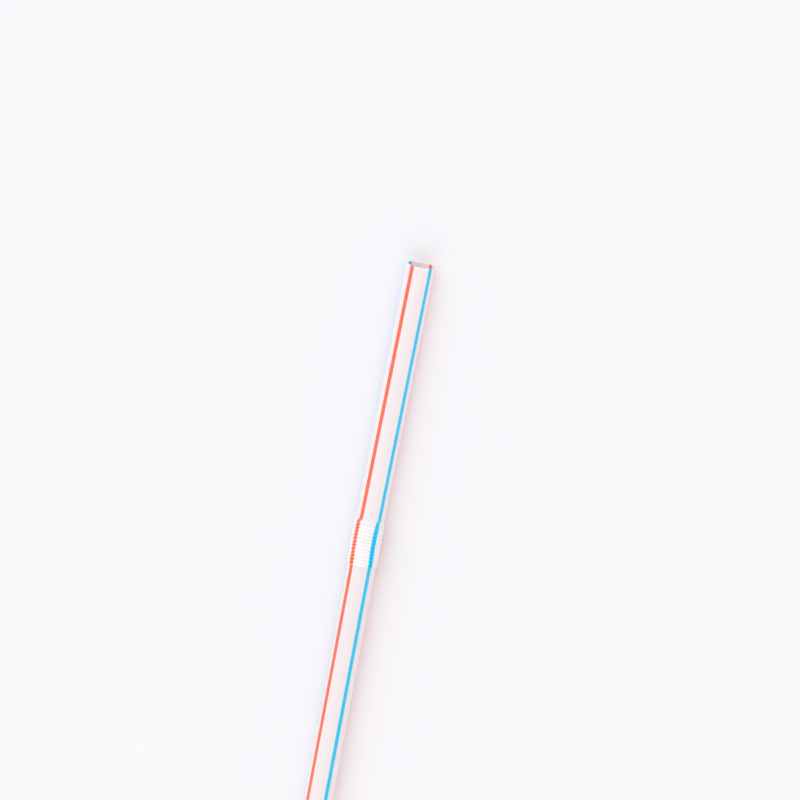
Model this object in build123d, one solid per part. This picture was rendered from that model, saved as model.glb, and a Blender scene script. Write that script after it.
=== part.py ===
from build123d import *
import math
import os

# Driving sizes, in millimetres. The straw lies along X, with its mouth at +X and its foot at -X.
straw_length = 200.0      # mouth to foot, with the neck pushed shut
mouth_length = 55.0       # plain tube between the mouth and the neck
tube_diameter = 6.0       # outside of the plain tube
wall = 0.16               # one thickness all along, as the tube was drawn
ring_count = 13           # folds in the neck
crest_rise = 0.28         # how far the folds stand out past the plain tube
fold_depth = 0.52         # crest to root, on the middle of the wall
long_flank_run = 1.15     # the flank of each fold that faces the mouth, along the axis
short_flank_run = 0.39    # the flank behind it, snapped back underneath
nose_flats = 2            # narrow flats that round the outside of each fold
neck_bend = 0.9           # degrees that the shut neck leaves the mouth section out of line
bend_gap = 0.3            # plain tube between the neck's first fold and the place of that bend

# The folds nest, so from one crest to the next is only the difference of the two flanks.
ring_pitch = long_flank_run - short_flank_run
tube_radius = (tube_diameter - wall) / 2
crest_radius = tube_radius + crest_rise
root_radius = crest_radius - fold_depth
# The outermost flanks start on the plain tube and not at a root, so they are cut to this share.
tube_share = crest_rise / fold_depth

mouth = straw_length / 2
foot = -straw_length / 2
neck_start = mouth - mouth_length
first_crest = neck_start - long_flank_run * tube_share
last_crest = first_crest - (ring_count - 1) * ring_pitch
bend_place = neck_start + bend_gap


def middle_of_wall():
    """The points where the middle of the wall bends, from the mouth to the foot: place and radius."""
    bends = [Vector(mouth, tube_radius), Vector(neck_start, tube_radius), Vector(first_crest, crest_radius)]
    for ring in range(1, ring_count):
        crest = first_crest - ring * ring_pitch
        bends.append(Vector(crest + long_flank_run, root_radius))
        bends.append(Vector(crest, crest_radius))
    bends.append(Vector(last_crest + short_flank_run * tube_share, tube_radius))
    bends.append(Vector(foot, tube_radius))
    return bends


def surface_of_wall(bends, offset):
    """One surface of the wall, at an offset from its middle, as the corners between its straight runs."""
    runs = [(end - start).normalized() for start, end in zip(bends, bends[1:])]
    normals = [Vector(-run.Y, run.X) * offset for run in runs]
    corners = [bends[0] + normals[0]]
    for bend, before, after in zip(bends[1:-1], normals, normals[1:]):
        turn = before.get_signed_angle(after, Vector(0, 0, 1))
        outside_of_fold = turn * offset < 0 and abs(turn) > 90
        flats = nose_flats if outside_of_fold else 0
        share = turn / (flats + 1)
        reach = 1 / math.cos(math.radians(share / 2))
        for corner in range(flats + 1):
            corners.append(bend + before.rotate(Axis.Z, share * (corner + 0.5)) * reach)
    corners.append(bends[-1] + normals[-1])
    return corners


def section_of_wall():
    """The cut face of the whole wall on one side of the axis, folds and all."""
    bends = middle_of_wall()
    outside = surface_of_wall(bends, -wall / 2)
    inside = surface_of_wall(bends, wall / 2)
    return make_face(Polyline(*outside, *reversed(inside), close=True))


def bent(straight):
    """The straight straw with its mouth section leaning a little to -Y, joined on the plane between both."""
    half = math.radians(neck_bend / 2)
    mitre = Plane(origin=(bend_place, 0, 0), z_dir=(math.cos(half), -math.sin(half), 0))
    leaning = Pos(bend_place, 0, 0) * Rot(0, 0, -neck_bend) * Pos(-bend_place, 0, 0) * straight
    return straight.split(mitre, keep=Keep.BOTTOM) + leaning.split(mitre, keep=Keep.TOP)


def lying(straw, crest_height):
    """The straw as it comes to rest, on the rims of its foot and mouth and on the last crest of its neck."""
    step = crest_height - tube_diameter / 2
    pitch = math.atan2(step, last_crest - foot)
    drop = step + (mouth - last_crest) * math.tan(pitch)
    roll = math.asin(drop / ((mouth - bend_place) * math.sin(math.radians(neck_bend))))
    laid = Rot(0, -math.degrees(pitch), 0) * Rot(math.degrees(roll), 0, 0) * straw
    box = laid.bounding_box()
    return Pos(-box.center().X, -box.center().Y, -box.min.Z) * laid


section = section_of_wall()
straw = lying(bent(revolve(section, Axis.X, 360)), section.bounding_box().max.Y)

os.makedirs("parts", exist_ok=True)
export_step(straw, "parts/straw.step")
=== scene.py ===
from math import asin, atan, atan2, cos, pi, radians, sin, tan

import bmesh
import bpy
from mathutils import Matrix, Vector


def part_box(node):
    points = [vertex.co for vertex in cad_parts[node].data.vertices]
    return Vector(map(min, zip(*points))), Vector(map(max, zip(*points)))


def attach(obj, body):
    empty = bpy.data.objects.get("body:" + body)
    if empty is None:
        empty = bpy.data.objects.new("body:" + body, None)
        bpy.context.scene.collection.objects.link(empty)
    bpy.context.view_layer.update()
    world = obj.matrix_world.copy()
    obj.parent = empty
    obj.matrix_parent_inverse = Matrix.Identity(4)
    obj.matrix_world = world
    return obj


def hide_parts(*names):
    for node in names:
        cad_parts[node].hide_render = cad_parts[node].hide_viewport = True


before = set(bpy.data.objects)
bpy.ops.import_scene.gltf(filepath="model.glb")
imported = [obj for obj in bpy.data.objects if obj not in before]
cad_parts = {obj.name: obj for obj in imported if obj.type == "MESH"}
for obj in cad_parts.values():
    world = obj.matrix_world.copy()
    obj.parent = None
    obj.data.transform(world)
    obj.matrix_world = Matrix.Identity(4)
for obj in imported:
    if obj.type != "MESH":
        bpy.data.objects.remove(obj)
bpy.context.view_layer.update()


# The straw: one thin polypropylene tube, drawn with its stripes in the wall. Rollers press the folds into
# its neck, which is then pushed shut, so that every fold lies flat on the next. It is made here as the
# middle of that wall, run by run and bend by bend, spun round the axis, and then given its thickness.
mouth = 0.1
foot = -0.1
tube_diameter = 0.006
wall = 0.00016
tube_radius = (tube_diameter - wall) / 2
steps_round_tube = 96
cut_edge = 0.0001
weld = 0.000001

ring_count = 13
ring_pitch = 0.00076
crest_rise = 0.000288
fold_depth = 0.000536
fold_bend = 0.000085
steps_round_fold = 6
crest_centre = tube_radius + crest_rise - fold_bend
root_centre = tube_radius + crest_rise - fold_depth + fold_bend
first_crest = 0.044465
last_crest = first_crest - (ring_count - 1) * ring_pitch

# The shut neck leaves the mouth section a little out of line. The straw lies on that side, on the rims of
# its foot and its mouth and on the last crest of its neck.
neck_bend = radians(0.9)
bend_place = 0.0453
pitch = atan(crest_rise / (last_crest - foot))
drop = crest_rise + (mouth - last_crest) * tan(pitch)
roll = asin(drop / ((mouth - bend_place) * sin(neck_bend)))


def run_to(wire, tip, place, radius):
    """Draws the wall on from its tip in a straight line."""
    drawn = bmesh.ops.extrude_vert_indiv(wire, verts=[tip])["verts"][0]
    drawn.co = (place, radius, 0)
    return drawn


def fold_round(wire, tip, place, radius, turn):
    """Bends the wall on from its tip round a centre, as a fold does."""
    bent = bmesh.ops.spin(
        wire,
        geom=[tip],
        cent=(place, radius, 0),
        axis=(0, 0, 1),
        angle=turn,
        steps=steps_round_fold,
    )
    return bent["geom_last"][0]


# Folds pressed flat on each other all slope alike, and that slope follows from their bend and their pitch.
slope = asin(4 * fold_bend / ring_pitch)
across = Vector((sin(slope), cos(slope))) * fold_bend
tuck = (crest_centre - root_centre - 2 * across.y) / tan(slope) - 2 * across.x
rise = crest_centre + across.y - tube_radius
neck_start = first_crest + across.x + rise / tan(slope)

# A narrow run at each cut end keeps the shading of the long run beside it even.
straw = bmesh.new()
tip = straw.verts.new((mouth, tube_radius, 0))
tip = run_to(straw, tip, mouth - cut_edge, tube_radius)
tip = run_to(straw, tip, bend_place, tube_radius)
tip = run_to(straw, tip, neck_start, tube_radius)
for ring in range(ring_count - 1):
    crest = first_crest - ring * ring_pitch
    root = crest + tuck
    tip = run_to(straw, tip, crest + across.x, crest_centre + across.y)
    tip = fold_round(straw, tip, crest, crest_centre, pi)
    tip = run_to(straw, tip, root + across.x, root_centre + across.y)
    tip = fold_round(straw, tip, root, root_centre, -pi)

# The last fold comes down on the tube in a corner of its own.
step_down = asin((crest_centre - tube_radius - fold_bend) / (2 * fold_bend))
corner = last_crest - 2 * fold_bend * cos(step_down)
tip = run_to(straw, tip, last_crest + across.x, crest_centre + across.y)
tip = fold_round(straw, tip, last_crest, crest_centre, pi / 2 + slope + step_down)
tip = fold_round(straw, tip, corner, tube_radius + fold_bend, -pi / 2 - step_down)
tip = run_to(straw, tip, foot + cut_edge, tube_radius)
tip = run_to(straw, tip, foot, tube_radius)

bmesh.ops.spin(
    straw,
    geom=straw.verts[:] + straw.edges[:],
    cent=(0, 0, 0),
    axis=(1, 0, 0),
    angle=2 * pi,
    steps=steps_round_tube,
    use_merge=True,
)
bmesh.ops.remove_doubles(straw, verts=straw.verts, dist=weld)
bmesh.ops.recalc_face_normals(straw, faces=straw.faces)

# The stripes follow the wall, so its map counts turns round the tube, from the top of the lying straw, and
# the way along it. The tube twists a little as it is drawn, and its neck winds up as it is pushed shut.
twist_per_metre = radians(84)
most_wound = radians(8.6)
most_wound_at = 0.42
winding_reach = 0.95
wind_left = radians(5.2)
fold_skew = radians(1.5)
neck_from = last_crest - 0.0002
neck_to = first_crest + 0.0006


def wound(place, radius):
    """How far the wall at this place and radius is turned about the axis."""
    drawn = twist_per_metre * (mouth - place)
    shut = min((neck_to - place) / (neck_to - neck_from), 1)
    if shut <= 0:
        return drawn
    middle = max(cos((shut - most_wound_at) * pi / winding_reach), 0)
    skewed = (radius - tube_radius) / (crest_centre - root_centre) * fold_skew if shut < 1 else 0
    return drawn + wind_left + (most_wound - wind_left) * middle + skewed


def along_wall(place):
    """Where a place on the axis is on the wall's map, from 0 at the foot to 1 at the mouth."""
    return (place - foot) / (mouth - foot)


wall_map = straw.loops.layers.uv.new("wall")
for face in straw.faces:
    middle = face.calc_center_median()
    facing = atan2(middle.z, middle.y)
    for loop in face.loops:
        spot = loop.vert.co
        turned = (atan2(spot.z, spot.y) - facing + pi) % (2 * pi) - pi
        angle = facing + turned + roll - pi / 2 + wound(spot.x, spot.yz.length)
        loop[wall_map].uv = (angle / (2 * pi), along_wall(spot.x))

# The mouth section is turned away, on the plane halfway between it and the rest. Then the straw is laid down
# where the frame has it, with the middle of its wall half a wall above the floor.
for spot in straw.verts:
    if abs(spot.co.x - bend_place) < weld:
        spot.co.x += spot.co.y * tan(neck_bend / 2)
beyond = [spot for spot in straw.verts if spot.co.x > bend_place + cut_edge]
bmesh.ops.rotate(straw, verts=beyond, cent=(bend_place, 0, 0), matrix=Matrix.Rotation(-neck_bend, 3, "Z"))
bmesh.ops.rotate(straw, verts=straw.verts, matrix=Matrix.Rotation(roll, 3, "X"))
bmesh.ops.rotate(straw, verts=straw.verts, matrix=Matrix.Rotation(-pitch, 3, "Y"))

low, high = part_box("straw")
lowest = Vector([min(spot.co[side] for spot in straw.verts) for side in range(3)])
highest = Vector([max(spot.co[side] for spot in straw.verts) for side in range(3)])
to_frame = (low + high - lowest - highest) / 2
to_frame.z = low.z - lowest.z + wall / 2
bmesh.ops.translate(straw, verts=straw.verts, vec=to_frame)

straw_mesh = bpy.data.meshes.new("drinking_straw")
straw.to_mesh(straw_mesh)
straw.free()
straw_mesh.shade_smooth()
drinking_straw = bpy.data.objects.new("drinking_straw", straw_mesh)
bpy.context.collection.objects.link(drinking_straw)
thickness = drinking_straw.modifiers.new("wall", "SOLIDIFY")
thickness.thickness = wall
thickness.offset = 0
thickness.use_even_offset = True

plastic = bpy.data.materials.new("striped_polypropylene")
plastic.use_nodes = True
nodes = plastic.node_tree.nodes
links = plastic.node_tree.links
nodes.clear()


def fill(socket, value):
    """Links a socket to what comes out of a node, or sets it to a number or a colour."""
    if isinstance(value, bpy.types.NodeSocket):
        links.new(value, socket)
    elif isinstance(value, tuple):
        socket.default_value = (*value, 1)
    else:
        socket.default_value = value


def calculate(operation, *values):
    """A Math node on sockets or numbers, and what comes out of it."""
    node = nodes.new("ShaderNodeMath")
    node.operation = operation
    for socket, value in zip(node.inputs, values):
        fill(socket, value)
    return node.outputs["Value"]


def ease(value, start, end, low=0.0, high=1.0):
    """A smooth change from low to high, as the value goes from start to end."""
    node = nodes.new("ShaderNodeMapRange")
    node.interpolation_type = "SMOOTHSTEP"
    fill(node.inputs["Value"], value)
    fill(node.inputs["From Min"], start)
    fill(node.inputs["From Max"], end)
    fill(node.inputs["To Min"], low)
    fill(node.inputs["To Max"], high)
    return node.outputs["Result"]


def blend(share, first, second, how="MIX"):
    """One colour laid over another by a share."""
    node = nodes.new("ShaderNodeMix")
    node.data_type = "RGBA"
    node.blend_type = how
    fill(node.inputs["Factor"], share)
    fill(node.inputs["A"], first)
    fill(node.inputs["B"], second)
    return node.outputs["Result"]


wall_place = nodes.new("ShaderNodeUVMap")
wall_place.uv_map = "wall"
split = nodes.new("ShaderNodeSeparateXYZ")
links.new(wall_place.outputs["UV"], split.inputs["Vector"])
turns = split.outputs["X"]
way = split.outputs["Y"]


def ease_along(start, end):
    """A smooth change from 0 to 1 along the wall, from one place on the axis to another."""
    return ease(way, along_wall(start), along_wall(end))


# In the shut neck three walls lie on each other, so it is whiter, and its stripes are wider and deeper. The
# folds next to the mouth are pressed less hard than the others.
foot_side_start = neck_from - 0.0001
foot_side_end = neck_from + 0.0002
mouth_side_start = first_crest + 0.00005
mouth_side_end = first_crest - 0.00045
hard_pressed = first_crest - 0.004
past_last_fold = ease_along(foot_side_start, foot_side_end)
past_first_fold = ease_along(mouth_side_start, mouth_side_end)
in_neck = calculate("MULTIPLY", past_last_fold, past_first_fold)
pressed = calculate("MULTIPLY", past_last_fold, ease_along(neck_to, hard_pressed))

# The outside of each fold is stretched thin, and its colour is paler there; the paler crest is also a
# painted highlight, standing in for the light each crest catches.
half_pitch = ring_pitch / 2 / (mouth - foot)
from_crest = calculate("PINGPONG", calculate("SUBTRACT", way, along_wall(first_crest)), half_pitch)
stretched_and_highlit = ease(from_crest, half_pitch, 0)

# Each colour has two stripes, given in degrees: their angles from the top, and half their width on the tube
# and in the neck. The map counts whole turns.
degree = 1 / 360
soft_edge = 0.7 * degree
# The milky white carries a little painted pink reflection on top of the tube's own colour.
milky_with_painted_pink = (0.985, 0.84, 0.848)
neck_white = (0.985, 0.9, 0.9)
red = (0.985, 0.203, 0.137)
neck_red = (0.98, 0.13, 0.06)
# The paler crest reds and blues are partly a painted highlight on each fold.
highlit_stretched_red = (0.99, 0.285, 0.155)
blue = (0.045, 0.635, 1)
neck_blue = (0.001, 0.56, 1)
highlit_stretched_blue = (0.002, 0.67, 1)
stripes = (
    ((-34.2, 134), 8.8, 9.8, red, neck_red, highlit_stretched_red),
    ((46, -128), 8.3, 9.3, blue, neck_blue, highlit_stretched_blue),
)
colour = blend(in_neck, milky_with_painted_pink, neck_white)
for angles, half, folded_half, plain, folded, paler_and_highlit in stripes:
    stripe_colour = blend(pressed, plain, blend(stretched_and_highlit, folded, paler_and_highlit))
    half_width = ease(in_neck, 0, 1, half * degree, folded_half * degree)
    for angle in angles:
        from_middle = calculate("SUBTRACT", turns, angle * degree)
        off = calculate("ABSOLUTE", calculate("WRAP", from_middle, 180 * degree, -180 * degree))
        inside = calculate("SUBTRACT", half_width, off)
        colour = blend(ease(inside, -soft_edge, soft_edge), colour, stripe_colour)

# The die leaves faint lines along the tube, hardly darker than the rest.
lines_along = 4
lines_across = 1500
line_from = 0.3
line_to = 0.7
line_shade = 0.985
object_place = nodes.new("ShaderNodeTexCoord")
drawn_out = nodes.new("ShaderNodeMapping")
drawn_out.inputs["Scale"].default_value = (lines_along, lines_across, lines_across)
links.new(object_place.outputs["Object"], drawn_out.inputs["Vector"])
die_lines = nodes.new("ShaderNodeTexNoise")
die_lines.inputs["Scale"].default_value = 1
die_lines.inputs["Detail"].default_value = 3
links.new(drawn_out.outputs["Vector"], die_lines.inputs["Vector"])
shade = ease(die_lines.outputs["Fac"], line_from, line_to, line_shade, 1)
colour = blend(1, colour, shade, "MULTIPLY")
die_bump = nodes.new("ShaderNodeBump")
die_bump.inputs["Strength"].default_value = 0.15
die_bump.inputs["Distance"].default_value = 0.00002
links.new(die_lines.outputs["Fac"], die_bump.inputs["Height"])

skin = nodes.new("ShaderNodeBsdfPrincipled")
skin.inputs["Roughness"].default_value = 0.3
skin.inputs["IOR"].default_value = 1.49
skin.inputs["Specular IOR Level"].default_value = 0.25
skin.inputs["Subsurface Weight"].default_value = 1
skin.inputs["Subsurface Radius"].default_value = (1, 1, 1)
skin.inputs["Subsurface Scale"].default_value = 0.0001
links.new(colour, skin.inputs["Base Color"])
links.new(die_bump.outputs["Normal"], skin.inputs["Normal"])

# So thin a wall doesn't stop the light of lamps: most of it comes through, into the straw and its folds.
lamp_ray = nodes.new("ShaderNodeLightPath")
let_through = nodes.new("ShaderNodeBsdfTransparent")
let_through.inputs["Color"].default_value = (0.7, 0.7, 0.7, 1)
thin_wall = nodes.new("ShaderNodeMixShader")
links.new(lamp_ray.outputs["Is Shadow Ray"], thin_wall.inputs["Fac"])
links.new(skin.outputs["BSDF"], thin_wall.inputs[1])
links.new(let_through.outputs["BSDF"], thin_wall.inputs[2])
surface = nodes.new("ShaderNodeOutputMaterial")
links.new(thin_wall.outputs["Shader"], surface.inputs["Surface"])
straw_mesh.materials.append(plastic)

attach(drinking_straw, "root")
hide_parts("straw")


# The floor: a plain sheet of near-white card, matt all over, that the straw lies on. It is so wide that its
# edges are out of sight.
floor_reach = 3
floor_shape = bmesh.new()
bmesh.ops.create_grid(floor_shape, x_segments=1, y_segments=1, size=floor_reach)
floor_mesh = bpy.data.meshes.new("floor")
floor_shape.to_mesh(floor_mesh)
floor_shape.free()
floor = bpy.data.objects.new("floor", floor_mesh)
bpy.context.collection.objects.link(floor)
pale = bpy.data.materials.new("pale_floor")
pale.use_nodes = True
pale_skin = pale.node_tree.nodes["Principled BSDF"]
pale_skin.inputs["Base Color"].default_value = (0.914, 0.906, 0.934, 1)
pale_skin.inputs["Roughness"].default_value = 1
pale_skin.inputs["Specular IOR Level"].default_value = 0
floor_mesh.materials.append(pale)


# The light: plain and soft, from an even white surround and from one broad lamp that shines in at the mouth
# from above.
surround = bpy.data.worlds.new("surround")
bpy.context.scene.world = surround
surround.use_nodes = True
background = surround.node_tree.nodes["Background"]
background.inputs["Color"].default_value = (1, 1, 1, 1)
background.inputs["Strength"].default_value = 0.83
toward_lamp = Vector((0.7, 0.4, 0.88))
key = bpy.data.objects.new("key", bpy.data.lights.new("key", "SUN"))
key.data.energy = 0.92
key.data.angle = radians(60)
key.matrix_world = toward_lamp.to_track_quat("Z", "Y").to_matrix().to_4x4()
bpy.context.collection.objects.link(key)


# The camera: it looks down on the lying straw and a little into its mouth, which is near the top of the
# picture. The straw leans a little to the right there, and its foot is below the picture's edge.
lens = 200
sensor = 36
picture_width = 800
pixels_per_metre = 4827
distance = picture_width * lens / sensor / pixels_per_metre
look_in = radians(13.3)
lean = radians(10.5)
target = Vector((0.0711, -0.00136, 0.003))
toward_camera = Vector((sin(look_in), 0, cos(look_in)))
along = Vector((cos(look_in), 0, -sin(look_in)))
up = along * cos(lean) + Vector((0, 1, 0)) * sin(lean)
right = up.cross(toward_camera)
camera = bpy.data.objects.new("camera", bpy.data.cameras.new("camera"))
camera.data.lens = lens
camera.data.sensor_width = sensor
turned_to = Matrix((right, up, toward_camera)).transposed().to_4x4()
camera.matrix_world = Matrix.Translation(target + toward_camera * distance) @ turned_to
bpy.context.collection.objects.link(camera)
bpy.context.scene.camera = camera

bpy.context.scene.view_settings.view_transform = "Standard"
